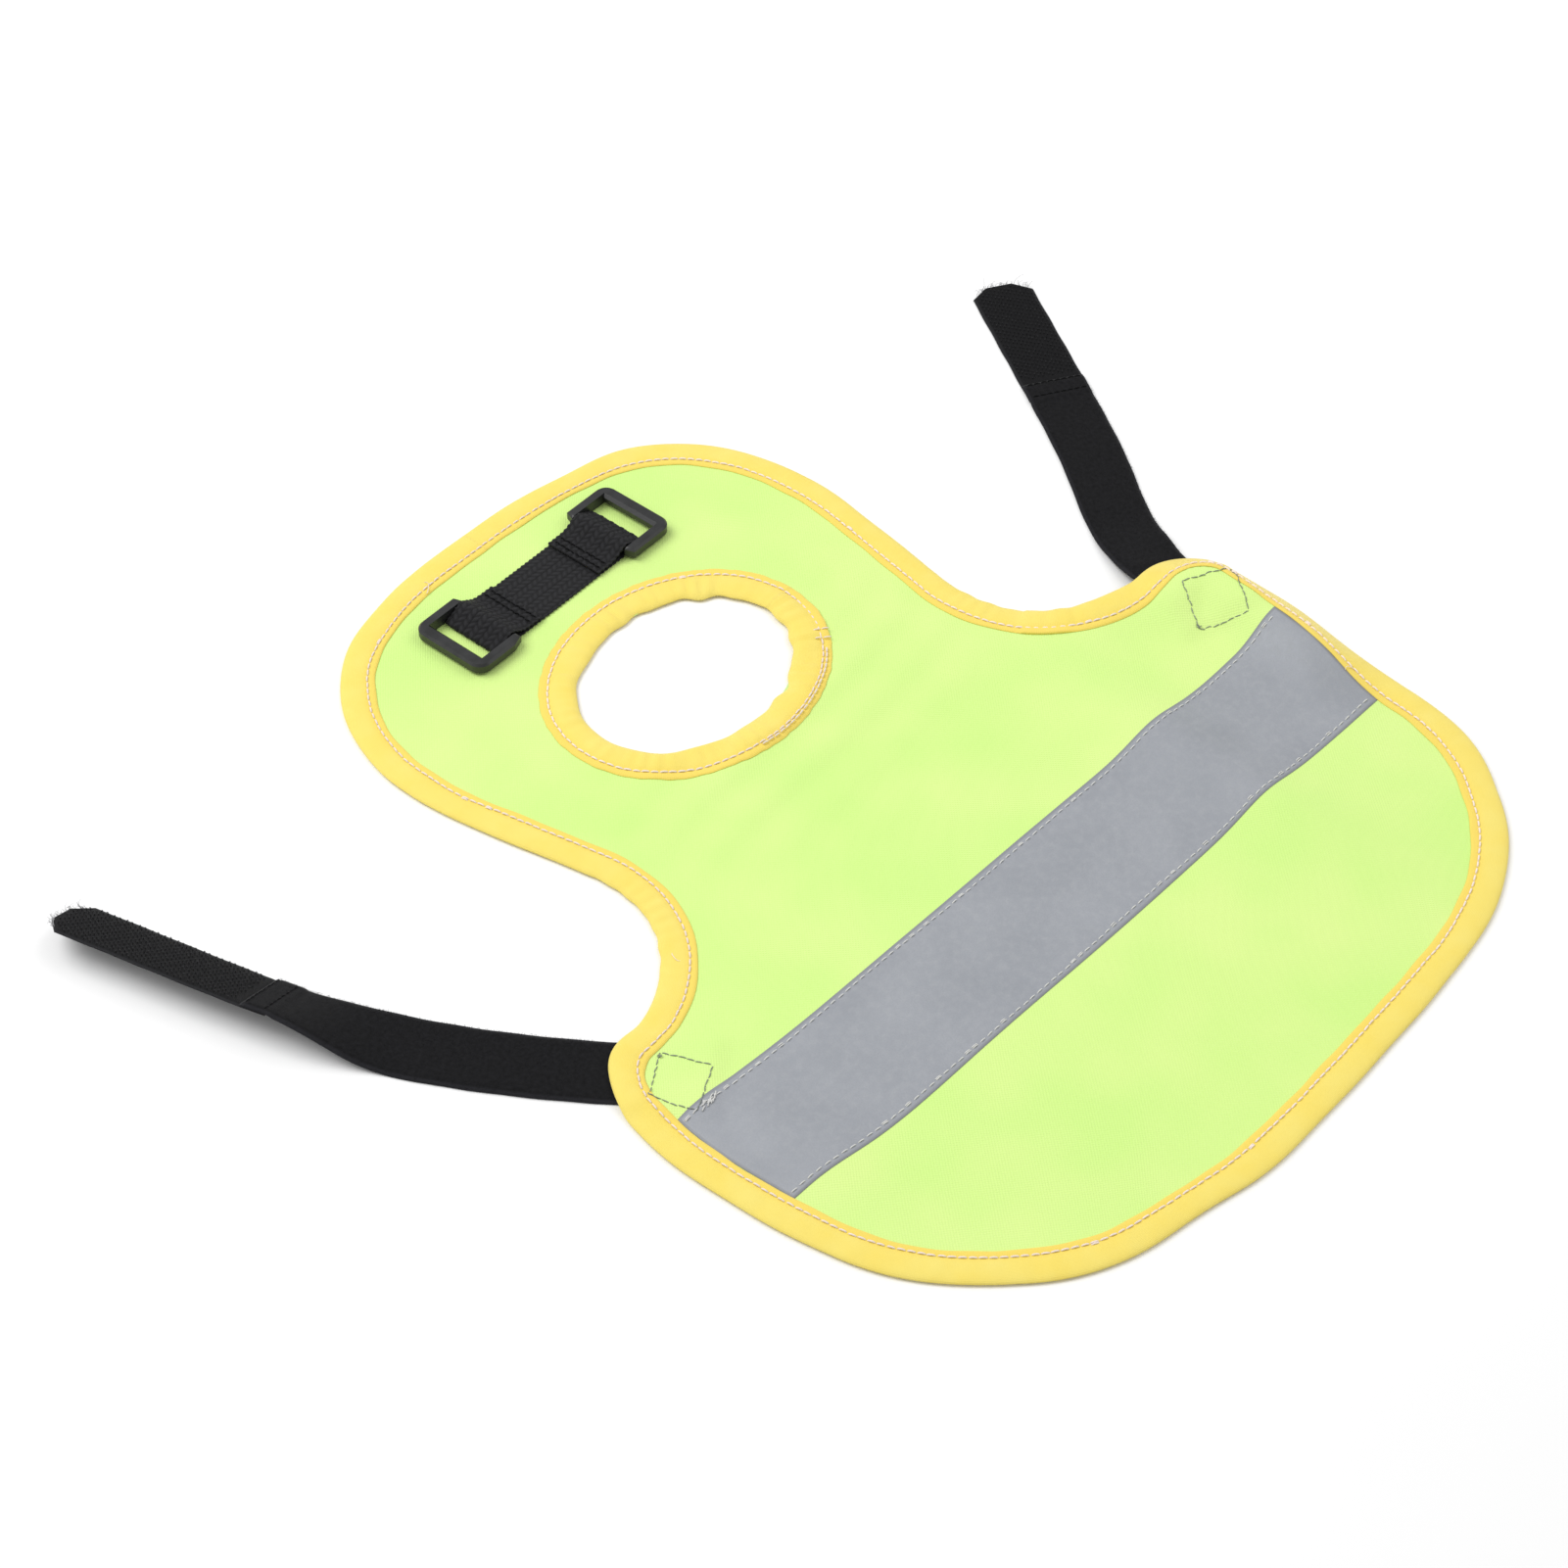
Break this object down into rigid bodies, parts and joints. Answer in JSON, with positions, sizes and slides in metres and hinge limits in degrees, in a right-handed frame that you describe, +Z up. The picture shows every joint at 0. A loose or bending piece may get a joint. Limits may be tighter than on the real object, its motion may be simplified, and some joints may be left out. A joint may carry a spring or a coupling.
{
  "type": "high visibility pet vest",
  "caption": "Flat bib-shaped safety vest for a small dog: bound fluorescent panel with a neck opening, a reflective band, hook-and-loop straps and strap rings on the chest.",
  "frame": {"origin": "centre of the neck opening, on the surface that the vest lies on", "axes": "+Z up, off the outer side of the fabric; +Y from the back panel towards the chest lobe (the dog's head end); X across, with the cut fabric mirrored about X = 0"},
  "size_m": [0.483, 0.395, 0.01],
  "materials": {
    "panel_fabric": "woven polyester, fluorescent yellow-green",
    "binding_fabric": "woven bias tape, fluorescent orange-yellow",
    "reflective_tape": "glass-bead coated tape, silver grey",
    "light_thread": "spun polyester thread, pale peach",
    "white_thread": "spun polyester thread, off-white",
    "dark_thread": "spun polyester thread, dark grey-green",
    "black_thread": "spun polyester thread, black",
    "black_webbing": "knitted polypropylene webbing, black",
    "ring_plastic": "satin moulded acetal, black",
    "loop_tape": "napped loop tape, black",
    "hook_tape": "woven hook tape with nylon hooks, black"
  },
  "bodies": {
    "back": {"back_panel": "panel_fabric", "back_edge_binding": "binding_fabric", "back_neck_binding": "binding_fabric", "back_edge_stitching": "light_thread", "back_neck_stitching": "light_thread", "reflective_tape": "reflective_tape", "tape_stitching": "white_thread", "left_strap_sewn_end": "loop_tape", "right_strap_sewn_end": "loop_tape", "left_box_stitching": "dark_thread", "right_box_stitching": "dark_thread"},
    "chest": {"chest_panel": "panel_fabric", "chest_edge_binding": "binding_fabric", "chest_neck_binding": "binding_fabric", "chest_edge_stitching": "light_thread", "chest_neck_stitching": "light_thread", "ring_webbing": "black_webbing", "webbing_stitching": "black_thread"},
    "left_ring": {"left_ring": "ring_plastic"},
    "left_strap": {"left_loop_tape": "loop_tape", "left_hook_sewn_end": "hook_tape", "left_tab_stitching": "black_thread"},
    "left_tab": {"left_hook_tape": "hook_tape"},
    "right_ring": {"right_ring": "ring_plastic"},
    "right_strap": {"right_loop_tape": "loop_tape", "right_hook_sewn_end": "hook_tape", "right_tab_stitching": "black_thread"},
    "right_tab": {"right_hook_tape": "hook_tape"}
  },
  "joints": [
    {"name": "neck_fold", "type": "hinge", "parent": "back", "child": "chest", "pos_m": [0, 0, 0.00095], "axis": [1, 0, 0], "range_deg": [-100, 100]},
    {"name": "left_ring_lift", "type": "hinge", "parent": "chest", "child": "left_ring", "pos_m": [-0.0306, 0.069, 0.00405], "axis": [0, 1, 0], "range_deg": [0, 115]},
    {"name": "right_ring_lift", "type": "hinge", "parent": "chest", "child": "right_ring", "pos_m": [0.0306, 0.069, 0.00405], "axis": [0, -1, 0], "range_deg": [0, 115]},
    {"name": "left_strap_swing", "type": "hinge", "parent": "back", "child": "left_strap", "pos_m": [-0.155, -0.098, 0.00075], "axis": [0.829, 0.5592, 0], "range_deg": [-95, 95]},
    {"name": "left_tab_fold", "type": "hinge", "parent": "left_strap", "child": "left_tab", "pos_m": [-0.2012, 0.00662, 0.00601], "axis": [0.9033, 0.259, -0.342], "range_deg": [-25, 170]},
    {"name": "right_strap_swing", "type": "hinge", "parent": "back", "child": "right_strap", "pos_m": [0.1541, -0.0968, 0.00075], "axis": [0.9135, -0.4067, 0], "range_deg": [-95, 95]},
    {"name": "right_tab_fold", "type": "hinge", "parent": "right_strap", "child": "right_tab", "pos_m": [0.21132, -0.00067, 0.00185], "axis": [0.8415, -0.5402, 0], "range_deg": [-25, 170]}
  ]
}
